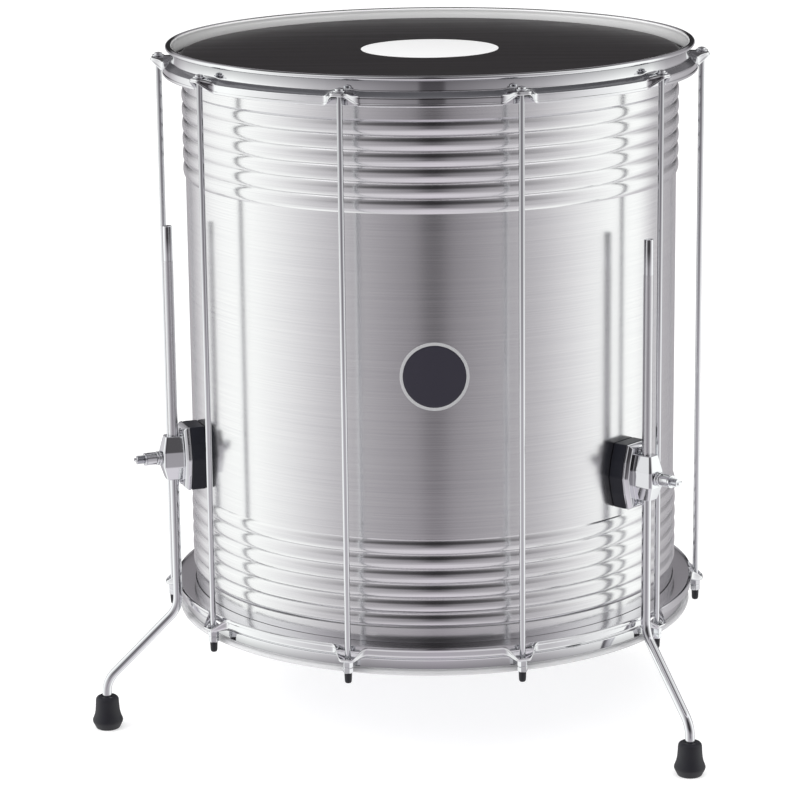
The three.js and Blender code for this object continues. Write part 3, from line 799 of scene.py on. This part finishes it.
pad = faceted("bracket_pads", [pad_ring(PAD_BACK, 0), pad_ring(PAD_FACE, 0)], PLASTIC)
wall_ends = [(0, 0, BRACKET + reach) for reach in (-0.1, 0.1)]
cut(pad, rod_between("wall", WALL + GAP, *wall_ends, sides=256))
eased(pad, PAD_EASE)
flange = [pad_ring(BACK, 0), pad_ring(BACK + FLANGE_STEP, 0), pad_ring(BACK + FLANGE_THICK, FLANGE_INSET)]
casting = faceted("bracket_castings", flange, CHROME)
cut(casting, faceted("boss", [boss_ring(*level) for level in BOSS_LEVELS], CHROME), "UNION")
eased(casting, CASTING_EASE)
drill_ends = [(LEG_CIRCLE, 0, BRACKET + reach) for reach in (-0.03, 0.03)]
cut(casting, rod_between("bore", LEG_RADIUS + BORE_GAP, *drill_ends))
for thing in (pad, casting):
    thing.data.transform(at_bearing(0))
pads = ring_of(pad, 3, BEARINGS[0], PLASTIC)
castings = ring_of(casting, 3, BEARINGS[0], CHROME)
for thing, stem, slot in ((pads, "bracket_pad_", "black_plastic"), (castings, "bracket_casting_", "chrome")):
    flats_kept(thing)
    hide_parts(*[stem + str(k) for k in (1, 2, 3)])
    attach(thing, "drum")
print("casting faces", len(castings.data.polygons))

# %% [markdown]
# Two pan-head screws hold each bracket, one above the boss and one below. One turned
# profile is enough, laid along +X and copied round the drum by the same node tree.

# %% Bracket screws
SCREW_SEAT = BACK + FLANGE_THICK
SCREW_RISE = 26.3 * MM
shank_and_head = [(0, -20, 0), (2, -20, 0), (2, -0.1, 0), (3.2, -0.1, 0.3), (3.0, 1.5, 1.0), (0, 2.1, 0)]
verts, faces = turned(rounded(in_mm(shank_and_head, SCREW_SEAT)), sides=20)
lie_down = Matrix.Rotation(math.pi / 2, 4, "Y")
for place, side in (("upper", 1), ("lower", -1)):
    lift = at_bearing(0) @ Matrix.Translation((0, 0, BRACKET + side * SCREW_RISE)) @ lie_down
    screw = solid("bracket_screws_" + place, moved(verts, lift), faces, CHROME, crease=30)
    screws = ring_of(screw, 3, BEARINGS[0], CHROME)
    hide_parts(*["bracket_screw_%s_%d" % (place, k) for k in (1, 2, 3)])
    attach(screws, "drum")
print("six screws")


# %% [markdown]
# The clamp bolt comes through the boss from outside, towards the leg. From the boss
# outwards it has a wide collar, a hexagon grip and a threaded end with a flat blade for
# the fingers. The thread is a row of small ridges in the profile.

# %% Clamp bolts
CLAMP_GAP = 3.9 * MM
SHANK = LEG_CIRCLE + LEG_RADIUS + CLAMP_GAP
COLLAR = LEG_CIRCLE + BOSS_REACH + GAP
GRIP = COLLAR + 5.4 * MM
TIP = GRIP + 12.6 * MM
BLADE, CLAMP_END = TIP + 7.9 * MM, TIP + 9.8 * MM
BLADE_HALF_THICK, BLADE_HALF_WIDTH, BLADE_END_SHARE = 1.1 * MM, 4.2 * MM, 0.7
RIDGES = 8


def joined(*skins):
    """Several closed skins as one list of corners and one of faces."""
    verts, faces = [], []
    for more, their in skins:
        faces += [tuple(i + len(verts) for i in face) for face in their]
        verts += more
    return verts, faces


def clamp_skin():
    shank = [(0, SHANK, 0), (3.6 * MM, SHANK, 0)]
    collar = in_mm([
        (3.6, 0, 0), (7.3, 0, 0.4), (7.3, 2.2, 0.4), (6.3, 2.4, 0.1), (6.3, 2.9, 0.1), (7.0, 3.1, 0.3),
        (7.0, 5.2, 0.5),
    ], COLLAR)
    core = in_mm([(5.4, 0, 0)], GRIP)
    core += in_mm([(5.4, -2.4, 0), (6.4, -2.2, 0), (6.4, -0.5, 0), (5.2, -0.2, 0)], TIP)
    ridges = [corner for j in range(RIDGES) for corner in ((3.6, j - 0.2, 0), (4.6, j + 0.3, 0))]
    line = shank + collar + core + in_mm(ridges, TIP) + [(0, BLADE, 0)]
    hexagon = skin(hex_bar(5.9 * MM, 5.3 * MM, GRIP, TIP - 2.5 * MM, 0.4 * MM))
    levels = ((1, BLADE - 0.5 * MM), (1, CLAMP_END - 1 * MM), (BLADE_END_SHARE, CLAMP_END))
    blade = skin([blade_ring(*level) for level in levels])
    return joined(turned(rounded(line, steps=3), sides=40), hexagon, blade)


def blade_ring(share, height):
    sides = ((1, 1), (1, -1), (-1, -1), (-1, 1))
    return [Vector((a * BLADE_HALF_THICK, b * BLADE_HALF_WIDTH * share, height)) for a, b in sides]


for k, bearing in enumerate(BEARINGS, 1):
    place = at_bearing(bearing) @ Matrix.Translation((0, 0, BRACKET)) @ lie_down
    verts, faces = clamp_skin()
    clamp = faced_out("clamp_%d_bolt" % k, moved(verts, place), faces, CHROME, crease=32)
    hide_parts("clamp_bolt_%d" % k)
    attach(clamp, "clamp_%d" % k)
print("three clamp bolts, faces in one", len(clamp.data.polygons))

# %% [markdown]
# A leg is a round rod bent twice, so it is skinned through rings set square to its
# centre line. Its top is a low crown. The rod is modelled in a plane and then turned a
# little, because the lower part of a leg doesn't point straight away from the drum.

# %% Shape of a leg
LEG_TOP, LEG_BEND, LEG_LOW = -162 * MM, -560.7 * MM, -637.1 * MM
LEG_END = FLOOR + 9.5 * MM
LEG_REACH, BEND_AWAY, BEND_STEPS = 75.6 * MM, 12.6 * MM, 12
LEG_SIDES, CROWN = 40, 1.2 * MM
KNURL_TOP, KNURL_END = -197.7 * MM, -415 * MM


def leg_line():
    places = ((0, LEG_TOP), (0, LEG_BEND), (LEG_REACH, LEG_LOW), (LEG_REACH, LEG_END))
    corners = [Vector(place) for place in places]
    line = [corners[0], Vector((0, KNURL_TOP)), Vector((0, KNURL_END))]
    for before, here, after in zip(corners, corners[1:], corners[2:]):
        start = here + (before - here).normalized() * BEND_AWAY
        stop = here + (after - here).normalized() * BEND_AWAY
        line += eased_corner(start, here, stop, BEND_STEPS)
    return line + [corners[-1]]


def leg_rings():
    line, rings = leg_line(), []
    for i, p in enumerate(line):
        along = (line[min(i + 1, len(line) - 1)] - line[max(i - 1, 0)]).normalized()
        ring = circle(LEG_RADIUS, 0, LEG_SIDES)
        rings.append([Vector((p.x + along.y * c.x, c.y, p.y - along.x * c.x)) for c in ring])
    crown = []
    for share, lift in ((0.5, 1.2), (0.8, 1.0), (0.95, 0.5)):
        crown.append([Vector((p.x * share, p.y * share, LEG_TOP - CROWN + lift * MM)) for p in rings[0]])
    rings[0] = [Vector((p.x, p.y, LEG_TOP - CROWN)) for p in rings[0]]
    return crown + rings


def leg_place(k):
    turn = Matrix.Rotation(math.radians(LEG_TURNS[k]), 4, "Z")
    return at_bearing(BEARINGS[k]) @ Matrix.Translation((LEG_CIRCLE, 0, 0)) @ turn


print("rings in a leg", len(leg_rings()))

# %% [markdown]
# The upper part of a leg is knurled so that the clamp can grip. The knurl is a second
# geometry tree: it takes a plain cylinder and pushes each point in or out by two
# crossing waves, one for each direction of the cutting wheels. Adding a large whole
# number keeps both waves above zero and moves neither.

# %% Legs
WAVE_LIFT = 1000
KNURL_COUNT, KNURL_PITCH, KNURL_DEPTH, KNURL_PROUD = 15.0, 2 * MM, 0.3 * MM, 0.16 * MM
SLEEVE_SIDES, SLEEVE_ROW = 60, 0.5 * MM
knurl_tree, given = geometry_tree("knurl", (("Across", "Float"), ("Pitch", "Float"), ("Depth", "Float")))
spot = node(knurl_tree, "GeometryNodeInputPosition")
x, y, z = [node(knurl_tree, "ShaderNodeSeparateXYZ", inputs={"Vector": spot}, output=i) for i in range(3)]
round_it = y.math("ARCTAN2", x) * given["Across"] / (2 * math.pi)
along_it = z / given["Pitch"]
left = (round_it + along_it + WAVE_LIFT).math("PINGPONG", 0.5)
right = (round_it - along_it + WAVE_LIFT).math("PINGPONG", 0.5)
push = (left.math("MINIMUM", right) - 0.25) * given["Depth"] * 2
flat = node(knurl_tree, "ShaderNodeCombineXYZ", inputs={"X": x, "Y": y})
out_way = node(knurl_tree, "ShaderNodeVectorMath", {"operation": "NORMALIZE"}, {0: flat})
shift = node(knurl_tree, "ShaderNodeVectorMath", {"operation": "SCALE"}, {0: out_way, "Scale": push})
pressed = node(knurl_tree, "GeometryNodeSetPosition", inputs={"Geometry": given["Geometry"], "Offset": shift})
sent_out(knurl_tree, pressed, given["Finish"])

rows = int((KNURL_TOP - KNURL_END) / SLEEVE_ROW)
heights = [KNURL_END + (KNURL_TOP - KNURL_END) * j / rows for j in range(rows + 1)]
sleeve_rings = [circle(LEG_RADIUS + KNURL_PROUD, height, SLEEVE_SIDES) for height in heights]
knurling = {"Across": KNURL_COUNT, "Pitch": KNURL_PITCH, "Depth": KNURL_DEPTH, "Finish": KNURLED}
for k in range(3):
    rod = faced_out("leg_%d_rod" % (k + 1), *skin(leg_rings()), CHROME, crease=35)
    sleeve = solid("leg_%d_knurl" % (k + 1), *skin(sleeve_rings), KNURLED, crease=80)
    with_nodes(sleeve, knurl_tree, knurling)
    for thing in (rod, sleeve):
        thing.data.transform(leg_place(k))
        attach(thing, "leg_%d" % (k + 1))
    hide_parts("leg_%d" % (k + 1))
print("knurl faces", len(sleeve.data.polygons))

# %% [markdown]
# The feet are moulded rubber: a rounded top that grips the leg, a waist, and a flared
# skirt that rolls under to the sole. One turned profile with generous fillets.

# %% Feet
foot_line = [
    (0, 0, 0), (11.8, 0, 1.5), (16, 8.5, 2), (12.9, 16.5, 5), (12.1, 25, 6), (11.8, 32.4, 2.4),
    (9.2, 34.7, 1.4), (5.0, 34.1, 0.5), (5.0, 29, 0), (0, 29, 0),
]
verts, faces = turned(rounded(in_mm(foot_line, FLOOR), steps=8), sides=64)
for k in range(3):
    place = leg_place(k) @ Matrix.Translation((LEG_REACH, 0, 0))
    foot = solid("foot_%d_rubber" % (k + 1), moved(verts, place), faces, RUBBER, crease=50)
    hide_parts("foot_%d" % (k + 1))
    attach(foot, "leg_%d" % (k + 1))
print("three feet")

# %% [markdown]
# A round badge sits half way down the front of the shell: bare dark enamel in a plain
# silver ring. It is a flat disc bent to the shell, so each point of a turned profile is
# pushed back by as much as the round wall falls away.

# %% Bare badge
BADGE_Z, BADGE_RADIUS, BADGE_TURN = -281.2 * MM, 33.5 * MM, math.radians(0.4)
BADGE_FOOT, ENAMEL_TOP, ENAMEL_STEPS = -0.2 * MM, 0.5 * MM, 12
BEZEL_IN, BEZEL_TOP, BEZEL_FILLET = BADGE_RADIUS - 3 * MM, 0.8 * MM, 0.5 * MM


def on_wall(profile, sides):
    """A profile of (radius, height off the wall), turned round the badge's centre and bent."""
    verts, faces = turned(profile, sides)
    bent = []
    for v in verts:
        bearing, out = v.x / WALL + BADGE_TURN, WALL + v.z
        bent.append(Vector((out * math.sin(bearing), -out * math.cos(bearing), BADGE_Z + v.y)))
    return bent, faces


rings = [BADGE_RADIUS * j / ENAMEL_STEPS for j in range(ENAMEL_STEPS)]
plate = [(0, BADGE_FOOT), (BADGE_RADIUS - 1.5 * MM, BADGE_FOOT)] + [(r, ENAMEL_TOP) for r in reversed(rings)]
ring_line = rounded(
    [
        (BEZEL_IN, BADGE_FOOT, 0), (BADGE_RADIUS, BADGE_FOOT, 0), (BADGE_RADIUS, BEZEL_TOP, BEZEL_FILLET),
        (BEZEL_IN, BEZEL_TOP, BEZEL_FILLET), (BEZEL_IN, BADGE_FOOT, 0),
    ]
)
enamel = faced_out("badge_enamel_disc", *on_wall(plate, sides=96), BADGE, crease=40)
bezel = faced_out("badge_ring", *on_wall(ring_line, sides=96), BADGE_SILVER, crease=40)
for thing, slot in ((enamel, "black_film"), (bezel, "hoop_ring")):
    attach(thing, "drum")
print("badge across", round(2 * BADGE_RADIUS, 4))

# %% [markdown]
# The drum stands on a white light table, which glows a little, so its shadow stays pale.
# A broad daylight and two soft boxes light the black pieces. None of these show in the
# chrome: bright metal shows the room more than itself, and the room is made in the
# next cell.

# %% Light table and lamps
TABLE_HALF = 30
AIM = Vector((0, 0, -0.3))
table_paint, tree, shader = finish(
    "light_table", (0.6, 0.6, 0.6), roughness=0.9, Specular_IOR_Level=0.0, Emission_Strength=0.5
)
shader.inputs["Emission Color"].default_value = (1, 1, 1, 1)
corners = [(x * TABLE_HALF, y * TABLE_HALF, FLOOR) for x, y in ((-1, -1), (1, -1), (1, 1), (-1, 1))]
table = solid("light_table", corners, [(0, 1, 2, 3)], table_paint)
table.visible_glossy = False


def lamp(name, kind, power, spot, **settings):
    light = bpy.data.lights.new(name, kind)
    light.energy = power
    for key, value in settings.items():
        setattr(light, key, value)
    holder = bpy.data.objects.new(name, light)
    holder.location = spot
    holder.rotation_euler = (AIM - Vector(spot)).to_track_quat("-Z", "Y").to_euler()
    holder.visible_glossy = holder.visible_camera = False
    bpy.context.scene.collection.objects.link(holder)


lamp("daylight", "SUN", 2.1, (-0.6, -1.0, 3.0), angle=math.radians(80))
lamp("left_box", "AREA", 30, (-2.0, -0.8, 0.4), shape="RECTANGLE", size=1.6, size_y=2.4)
lamp("right_box", "AREA", 18, (2.0, -0.5, 0.4), shape="RECTANGLE", size=1.2, size_y=2.4)

# %% [markdown]
# The room is a ring of tones round the drum, each at its bearing in degrees. Dead ahead,
# behind the camera, it is darkest. From there it brightens to a white wall on each side
# and falls off again behind the drum. That ring alone draws the shell: a dark middle,
# bright flanks and grey edges.

# %% Ring of tones
WALL_TONES = [
    (-180, 0.45), (-150, 0.50), (-136, 0.92), (-120, 1.15), (-95, 1.25), (-72, 1.0), (-50, 0.70),
    (-34, 0.52), (-14, 0.35), (-5, 0.30), (-4, 0.12), (5.5, 0.12), (6.5, 0.27), (24, 0.40), (50, 0.62),
    (72, 0.95), (92, 1.2), (112, 1.25), (126, 0.64), (145, 0.50), (180, 0.45),
]
world = bpy.data.worlds.new("studio")
bpy.context.scene.world = world
world.use_nodes = True
sky = world.node_tree
way = node(sky, "ShaderNodeTexCoord", output="Generated")
x, y, z = [node(sky, "ShaderNodeSeparateXYZ", inputs={"Vector": way}, output=i) for i in range(3)]
bearing = x.math("ARCTAN2", y * -1) / (2 * math.pi) + 0.5
stops = [(turn / 360 + 0.5, (tone, tone, tone)) for turn, tone in WALL_TONES]
room = node(sky, "ShaderNodeValToRGB", {"stops": stops}, {"Fac": bearing})
print("tones", len(stops))


# %% [markdown]
# The tones also change with height. Upwards the dark parts darken further, which puts the
# dark line on top of each bead, and downwards they turn into the pale table. A narrow
# bright band high up gives rims their thin highlight. The ceiling behind the drum is
# dark, and so are the wall above the camera and the wall low behind the drum, which is
# what the black head mirrors. Heights here are the Z of a direction, from -1 to 1. Only
# mirrored rays see this room: the camera sees a plain pale backdrop, and soft light comes
# from a plain grey one.

# %% The room that the metal sees
CEILING_TONE = 0.1
BACKDROP, SOFT_LIGHT = 0.93, 0.43


def fade(value, start, stop):
    """0 where the value is at start, 1 where it is at stop, and eased between the two."""
    t = ((value - start) / (stop - start)).math("MAXIMUM", 0).math("MINIMUM", 1)
    return t * t * (3 - t * 2)


upper = room * (1 - (1 - room).math("MAXIMUM", 0) * 0.65)
lower = room.math("MAXIMUM", 0.5 + fade(z, -0.34, -0.65) * 0.3) * 0.97
band = fade(z, 0.71, 0.74) * fade(z, 0.82, 0.79)
ceiling = fade(z, 0.62, 0.75) * fade(y, -0.2, 0.1)
over_camera = fade(z, -0.02, 0.12) * fade(z, 0.7, 0.5) * fade(y, -0.7, -0.85)
behind = fade(y, 0.8, 0.92) * fade(z, -0.02, 0.04) * fade(z, 0.28, 0.2)
shade = room + (upper - room) * fade(z, -0.14, 0.02)
shade = shade + (lower - shade) * fade(z, -0.24, -0.345)
shade = shade + band * 0.5
shade = shade + (CEILING_TONE - shade) * ceiling
shade = shade * (1 - over_camera * 0.6)
shade = shade * (1 - behind * 0.9)
green, blue = shade * (room * 0.07 + 0.93), shade * (room * -0.02 + 1.02)
tinted = node(sky, "ShaderNodeCombineXYZ", inputs={"X": shade, "Y": green, "Z": blue})
mirrored = node(sky, "ShaderNodeLightPath", output="Is Glossy Ray")
seen = node(sky, "ShaderNodeLightPath", output="Is Camera Ray")
even = seen * (BACKDROP - SOFT_LIGHT) + SOFT_LIGHT
colour = node(sky, "ShaderNodeMix", {"data_type": "RGBA"}, {0: mirrored, 6: even, 7: tinted}, output=2)
sky.links.new(colour.socket, sky.nodes["Background"].inputs["Color"])
print("world ready")

# %% [markdown]
# The camera stands three metres in front of the drum and less than half a metre above
# its rim, and looks down with a long lens. Its place, its lens and its tilt are the ones
# where the hoops, rods and feet fall closest to where they are in the photograph, an 800
# pixel square. There uprights stay upright, as they do through a lens shifted far down.
# A shift that large would push the drum out of every other view, so this lens has none,
# and the drum tapers very slightly downwards.

# %% Camera
FRAME_PIXELS, FOCAL_PIXELS = 800, 3169.1
CAMERA_PLACE = (-0.0041, -3.1914, 0.4277)
LOOK_ASIDE, LOOK_DOWN, LEAN = 0.535, 13.96, -0.634
lens = bpy.data.cameras.new("photo_camera")
lens.sensor_width = 36
lens.lens = lens.sensor_width * FOCAL_PIXELS / FRAME_PIXELS
lens.clip_end = 100
camera = bpy.data.objects.new("photo_camera", lens)
aside = Matrix.Rotation(math.radians(LOOK_ASIDE), 4, "Z")
tilt = Matrix.Rotation(math.radians(90 - LOOK_DOWN), 4, "X")
lean = Matrix.Rotation(math.radians(LEAN), 4, "Z")
camera.matrix_world = Matrix.Translation(CAMERA_PLACE) @ aside @ tilt @ lean
bpy.context.scene.collection.objects.link(camera)
bpy.context.scene.camera = camera
bpy.context.scene.view_settings.view_transform = "Standard"
print("lens mm", round(lens.lens, 1))
